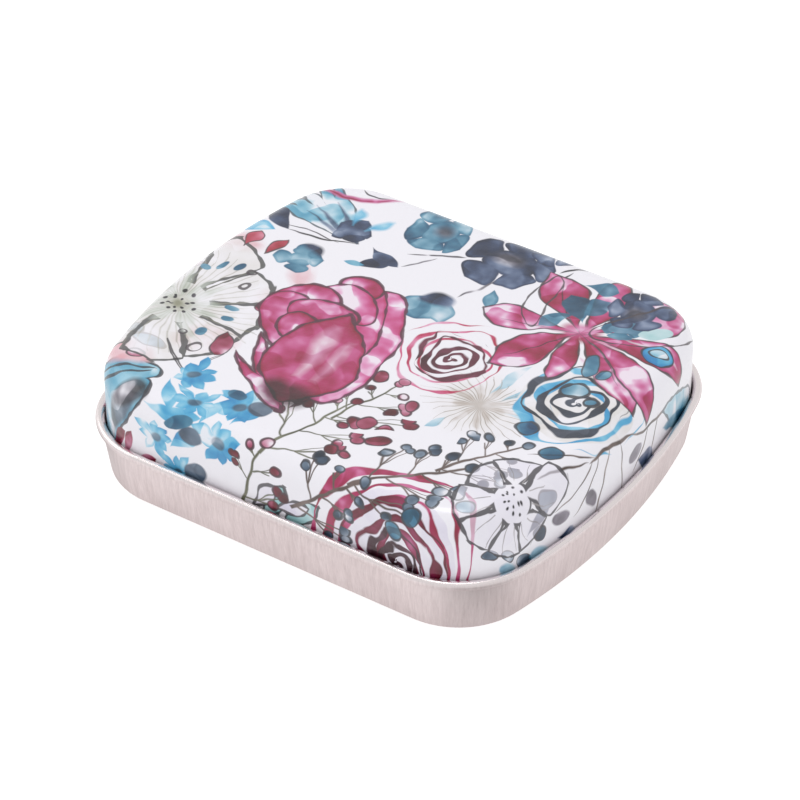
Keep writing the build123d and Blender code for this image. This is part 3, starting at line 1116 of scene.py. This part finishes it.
BRANCH_VEINS = (
    (31.4, 8.8, 37.4, 6.0, 0.3), (31.2, 6.2, 36.4, 3.0, 0.3), (30.4, 0.0, 37.6, -0.2, 0.2),
    (30.2, -2.0, 37.2, -7.0, 0.4), (29.9, -3.8, 34.6, -10.0, 0.4), (29.9, -5.0, 31.6, -12.6, 0.3),
    (29.6, -5.6, 26.8, -13.4, -0.3), (29.8, -4.4, 24.0, -9.6, 0.5),
)
RIGHT_BRANCH = [
    strokes(STEM, (32.4, 14, 30.2, 2, 0.44, 0.6), (30.3, 3, 29.8, -5.6, 0.44, 0.2), depth=1.1),
    strokes(STEM, *((*ends, 0.26, bow) for *ends, bow in BRANCH_VEINS), depth=1.1),
    ovals(GREY, (33.5, 3.2, 1.1, 1.5, 30), (34.2, -6.6, 1.3, 0.9, 30), (33, -11.8, 1.4, 0.9, 60), depth=0.8,
          edge=0.12),
    petals(NAVY, (35.2, 4, 4.4, 2.6, 64, 0.55), (35.4, -12.8, 3.6, 2, 60), (31.4, -17, 4.2, 2.1, 118),
           edge=0.12),
    petals(AQUA, (32.2, 10, 13, 5.2, 72, 0.55, 0.6), depth=0.8, swing=3.2, line=LEAF_INK, width=0.22),
    petals(TEAL, (34.4, 10.4, 11, 2.6, 78, 0.55), edge=0.12),
    ovals(SLATE, (32.6, -15.2, 1.3, 1, 30), (34.2, -19, 1.4, 0.9, 60), (31.6, -21.4, 1.3, 0.9, 40),
          (29.6, -23.6, 1.2, 0.8, 60), (29, -13.6, 1.4, 1, 50), depth=0.9, glaze=0.4, line=SOFT_INK,
          width=0.1),
    ovals(AQUA, (33.4, -22.4, 1.8, 1, 50), (35.2, -16.2, 1.8, 0.9, 70), edge=0.2, strength=0.8),
    petals(MINT, (1, -33, 6.4, 2.8, 38), (-1, -33.4, 5.6, 2.4, 64), line=INK, width=0.2),
    petals(GROUND, (0.2, -31.4, 4.6, 2, 20), (-2.4, -32.4, 4.6, 1.8, 52), line=INK, width=0.2),
]

BACK_STEMS, BACK_BERRIES = sprig(29.0, 29.4, 172, 17.0, 3.0, 3.6, 11, 0.34, 0.8)
LEFT_STEMS, LEFT_BERRIES = sprig(-34.2, 18.0, 282, 24.0, 3.2, 3.2, 12, 0.34, 0.8)
HIDDEN_WALLS = [
    Paint(STEM, BACK_STEMS, LEFT_STEMS, swing=1),
    Paint(SLATE, BACK_BERRIES, swing=3.4, line=INK, width=0.14),
    Paint(BERRY, LEFT_BERRIES, swing=3.4, line=INK, width=0.12),
    Paint(NAVY, bloom(-14.6, 29.2, 4.8, 4.2, 18, 9), pool=0.5),
    Paint(SKY, flower(-22.4, 28.6, 3.4, 6, 1.9, 20, 0.62, 0.3, 8, 0.3),
          flower(-34.4, -16, 3.6, 6, 2, 20, 0.62, 0.3, 8, 0.3), swing=3.4),
    ovals(SLATE, (-22.4, 28.6, 0.9, 0.7), (-34.4, -16, 0.9, 0.7), (-14.6, 29.2, 1.2, 0.9), edge=0.15),
    Paint(tint(186, 52, 102), coil(-3.6, 30.2, 4.6, 3.6, 0.5, 40, 0.7)),
    petals(CRIMSON, (-33, -22, 8, 3.8, 150), (-32, -22.4, 7, 3.4, 190), depth=0.6, foot=0.6, line=PLUM_INK),
    petals(TEAL, (9.4, 27.6, 5.4, 2.4, 70), (-8.8, 28, 4.4, 2, 100), (-33, 22, 5, 2.4, 160)),
]

# From the lowest coat to the one on top.
PRINT = [
    *HIDDEN_WALLS,
    *HAIR_FLOWER,
    *LEFT_CORNER,
    *anemone(-25.3, -8.0),
    *BACK_CORNER,
    *BACK_BLOOMS,
    *BLUE_POSIES,
    *BACK_ROSES,
    *lily(17.0, 12.4),
    *RIGHT_BRANCH,
    *FRONT_ROSE,
    *SPRIGS,
    *ink_flower(26.2, -17.4),
    *peony(),
]

# The print is split into tiles, so that a material holds only what is near it.
TILE_COLUMNS = 6
TILE_ROWS = 5
PRINT_REACH = (39.0, 35.0)
TILE_MARGIN = 2.4

# Noise scales are in waves per millimetre of sheet.
SLOW_WAVER = (0.13, 1.7)    # scale, and how many millimetres it moves an outline
QUICK_WAVER = (0.5, 0.5)
PIGMENT_SCALE = 0.26
DRIED_SCALE = 0.2
DRIED_SHARE = 0.09
SHAKE_SCALE = 0.7
PEEL_SCALE = 0.6
PEEL_BUMP = (0.03, 0.02)    # strength and distance
LACQUER = dict(Roughness=0.32, Coat_Weight=0.6, Coat_Roughness=0.1)


def tile_of(prints):
    """The tile that holds the middle of a face on the unrolled sheet."""
    x, y = (sum(values) / len(prints) for values in zip(*prints))
    column = int((x / PRINT_REACH[0] + 1) / 2 * TILE_COLUMNS)
    row = int((y / PRINT_REACH[1] + 1) / 2 * TILE_ROWS)
    return min(max(row, 0), TILE_ROWS - 1) * TILE_COLUMNS + min(max(column, 0), TILE_COLUMNS - 1)


def wavered(m, place, flat, scale, reach, detail=0.0):
    """The place moved about by noise, as a hand's outlines waver."""
    off = m.vector("SUBTRACT", m.noise(flat, scale, detail, out=1), (0.5, 0.5, 0.5))
    return m.vector("MULTIPLY_ADD", off, (reach, reach, 0), place)


def print_material(tile):
    """Lacquered print over tinplate, with the watercolours of one tile."""
    row, column = divmod(tile, TILE_COLUMNS)
    size = (2 * PRINT_REACH[0] / TILE_COLUMNS, 2 * PRINT_REACH[1] / TILE_ROWS)
    low = (column * size[0] - PRINT_REACH[0] - TILE_MARGIN, row * size[1] - PRINT_REACH[1] - TILE_MARGIN)
    high = (low[0] + size[0] + 2 * TILE_MARGIN, low[1] + size[1] + 2 * TILE_MARGIN)
    material, m = new_material(f"printed_lid_{tile:02d}")
    flat = m.sheet()
    m.moved = wavered(m, wavered(m, flat, flat, *SLOW_WAVER), flat, *QUICK_WAVER, detail=0.5)
    dried = m.ramp(m.noise(m.moved, DRIED_SCALE, 1.0), 0.49, 0.52, -DRIED_SHARE, DRIED_SHARE)
    m.pigment = m.noise(flat, PIGMENT_SCALE) + dried
    m.shake = m.noise(flat, SHAKE_SCALE, 0.0)
    shown = GROUND
    for coat in PRINT:
        shown = coat.lay(m, shown, low, high)
    if shown is GROUND:
        shown = m.mix(0.0, GROUND, GROUND)
    finish(m, Base_Color=shown, Normal=m.bump(m.noise(flat, PEEL_SCALE), *PEEL_BUMP), **LACQUER)
    return material


# --------------------------------------------------------------------- metal
FINE_BRUSH = (14.0, 0.7, 0)     # waves per millimetre along and across the wall
BROAD_BRUSH = (2.2, 0.2, 0)
STAIN_SCALE = 0.11
# The painted highlight on the rim's top: its lighter tint, and the smoother roughness there.
RIM_HIGHLIGHT = tint(240, 231, 231)
RIM_TOP_ROUGHNESS = 0.24


def tinplate_material(name, bright, dull, roughness, rim=None):
    """Bare tinplate with fine brush lines; given a rim height, the rounded corners get painted shade below
    the rim and the rim's top a painted highlight.
    """
    material, m = new_material(name)
    flat = m.sheet("wall")
    lines = m.noise(m.vector("MULTIPLY", flat, FINE_BRUSH), 1.0, 2.0, 0.7)
    broad = m.noise(m.vector("MULTIPLY", flat, BROAD_BRUSH), 1.0, 1.0)
    level = m.mul_add(broad, 0.3, m.mul_add(m.noise(flat, STAIN_SCALE), 0.3, lines * 0.55))
    colour = m.mix(m.ramp(level, 0.38, 0.74), dull, bright)
    gloss = m.ramp(lines, 0.3, 0.7, roughness - 0.04, roughness + 0.06)
    if rim:
        # Painted shade: the rounded corners are darkened upwards towards the rim, as if in shade under the
        # curl.
        along, across = m.split(m.node("ShaderNodeNewGeometry", out=1))
        turned = abs(along * across) * 2.0
        height = m.split(m.node("ShaderNodeTexCoord", out=3), 3)[2]
        under = m.ramp(height, 0.15 * rim, 0.9 * rim, 0.3, 1.0) * m.math("POWER", turned, 2.0)
        shade = m.mul_add(under, -0.4, 1.0)
        colour = m.mix(1.0, colour, m.join(shade, shade, shade), "MULTIPLY")
        # Painted highlight: above the rim height the colour goes to a lighter tint, where the curl's top
        # catches the overhead light, and the roughness drops.
        top = m.ramp(height, 1.01 * rim, 1.05 * rim)
        colour = m.mix(top, colour, RIM_HIGHLIGHT)
        gloss = m.mix_number(top, gloss, RIM_TOP_ROUGHNESS)
    bump = m.bump(lines * (MM * 4), 0.2, 0.02)
    finish(m, Base_Color=colour, Metallic=1.0, Roughness=gloss, Normal=bump)
    return material


# ----------------------------------------------------------------- the pieces
# How far out from the flat plate the brush lines still run straight across.
TRAY_FLAT_RUN = 4.6
LID_FLAT_RUN = 2.8


def settle(made, node, body):
    """Hides the CAD node that a piece stands for, and ties the piece to its body."""
    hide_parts(node)
    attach(made, body)


def make_base():
    floor_side, rim_side = base_profile()
    lower = sheet_rows(floor_side)
    upper = sheet_rows(rim_side, lower[-1])
    shell = Sheet(TRAY_FLAT_RUN)
    held = {"plain": ("lower", "upper"), "gap": ("lower",), "knuckle": ("lower",)}
    shell.sweep({"lower": lower, "upper": upper}, held)
    shell.plate(lower[0])
    metal = tinplate_material("bare_tinplate", tint(240, 227, 227), tint(214, 199, 199), 0.38, rim_z * MM)
    made = shell.piece("base_tray_shell", [metal])
    settle(made, "base_tray", "base")


def make_lid():
    cover, skirt, tab = lid_profile()
    upper = sheet_rows(cover)
    groups = {"upper": upper, "skirt": sheet_rows(skirt, upper[-1]), "tab": sheet_rows(tab, upper[-1])}
    shell = Sheet(LID_FLAT_RUN)
    shell.sweep(groups, {"plain": ("upper", "skirt"), "gap": ("upper",), "knuckle": ("upper", "tab")})
    shell.plate(upper[0])
    metal = tinplate_material("inner_tinplate", tint(236, 228, 226), tint(212, 204, 202), 0.3)
    tiles = [print_material(tile) for tile in range(TILE_COLUMNS * TILE_ROWS)]
    made = shell.piece("lid_shell_printed", [metal, *tiles], lambda prints: 1 + tile_of(prints))
    settle(made, "lid_shell", "lid")


def make_wire():
    """Drawn wire with small chamfers at its cut ends."""
    half = (wire_high.x - wire_low.x) / 2
    end = (half, wire_radius - WIRE_CHAMFER)
    rise = (half - WIRE_CHAMFER, wire_radius)
    rings = [(-end[0], end[1]), (-rise[0], rise[1]), (0, wire_radius), rise, end]
    points, faces = [], []
    for x, radius in rings:
        for k in range(WIRE_SIDES):
            angle = 2 * math.pi * k / WIRE_SIDES
            y, z = hinge_y + radius * math.cos(angle), rim_z + radius * math.sin(angle)
            points.append(Vector((x, y, z)) * MM)
    for ring in range(len(rings) - 1):
        for k in range(WIRE_SIDES):
            a, b = ring * WIRE_SIDES + k, ring * WIRE_SIDES + (k + 1) % WIRE_SIDES
            faces.append((a, b, b + WIRE_SIDES, a + WIRE_SIDES))
    faces += [tuple(range(WIRE_SIDES))[::-1], tuple(range(len(points) - WIRE_SIDES, len(points)))]
    mesh = bpy.data.meshes.new("hinge_wire_drawn")
    mesh.from_pydata(points, [], faces)
    for name in ("unrolled", "wall"):
        layer = mesh.uv_layers.new(name=name)
        for loop in mesh.loops:
            place = mesh.vertices[loop.vertex_index].co / MM
            layer.data[loop.index].uv = (place.z / UV_SPAN, place.x / UV_SPAN)
    mesh.shade_smooth()
    mesh.set_sharp_from_angle(angle=math.radians(30))
    mesh.materials.append(tinplate_material("drawn_wire", tint(206, 204, 202), tint(170, 168, 166), 0.28))
    settle(placed("hinge_wire_drawn", mesh), "hinge_wire", "base")


# ----------------------------------------------------------------- the studio
FLOOR_REACH = 1.5           # metres
FLOOR_GRAIN = 220.0         # waves per metre
FLOOR_SHADES = (0.58, 0.6)
GLOW_ROUND = 0.66           # the floor's light on the tin
GLOW_SEEN = 1.3             # the floor's light to the camera
WORLD_LIGHT = 0.8
LAMPS = (                   # name, place and size in metres, power in watts
    ("overhead", (-0.06, 0.0, 0.55), 0.18, 0.4),
    ("side", (-0.5, -0.1, 0.35), 0.4, 0.5),
)
CAMERA_AZIMUTH = math.radians(34.1)
CAMERA_ELEVATION = math.radians(36.9)
CAMERA_DISTANCE = 436.0
CAMERA_AIM = (-5.25, 7.7, 0.0)
CAMERA_LENS = 165.7


def make_floor():
    """White paper that shines, brighter to the camera than to the tin."""
    mesh = bpy.data.meshes.new("studio_floor")
    corners = [(x * FLOOR_REACH, y * FLOOR_REACH, 0) for x, y in ((-1, -1), (1, -1), (1, 1), (-1, 1))]
    mesh.from_pydata(corners, [], [(0, 1, 2, 3)])
    material, m = new_material("pale_floor")
    place = m.node("ShaderNodeTexCoord", out=3)
    paper = m.ramp(m.noise(place, FLOOR_GRAIN), 0.3, 0.7, *FLOOR_SHADES)
    shade = m.join(paper, paper, paper)
    glow = m.ramp(m.node("ShaderNodeLightPath"), 0.0, 1.0, GLOW_ROUND, GLOW_SEEN)
    finish(m, Base_Color=shade, Roughness=0.8, Emission_Color=shade, Emission_Strength=glow)
    mesh.materials.append(material)
    placed("studio_floor", mesh)


def aim(made, back):
    """Turns a lamp or a camera to look against a direction."""
    made.rotation_euler = (-back).to_track_quat("-Z", "Y").to_euler()


def make_lights():
    world = bpy.data.worlds.new("studio")
    world.use_nodes = True
    colour, strength = world.node_tree.nodes["Background"].inputs[:2]
    colour.default_value = (1, 1, 1, 1)
    strength.default_value = WORLD_LIGHT
    bpy.context.scene.world = world
    for name, place, size, power in LAMPS:
        lamp = bpy.data.lights.new(name, "AREA")
        lamp.size = size
        lamp.energy = power
        made = placed(name, lamp)
        made.location = place
        aim(made, Vector(place))
    bpy.context.scene.view_settings.view_transform = "Standard"


def make_camera():
    level = math.cos(CAMERA_ELEVATION)
    x, y = math.sin(CAMERA_AZIMUTH) * level, -math.cos(CAMERA_AZIMUTH) * level
    back = Vector((x, y, math.sin(CAMERA_ELEVATION)))
    data = bpy.data.cameras.new("camera")
    data.lens = CAMERA_LENS
    data.clip_start = 0.01
    camera = placed("camera", data)
    camera.location = (Vector(CAMERA_AIM) + back * CAMERA_DISTANCE) * MM
    aim(camera, back)
    bpy.context.scene.camera = camera


make_base()
make_lid()
make_wire()
make_floor()
make_lights()
make_camera()
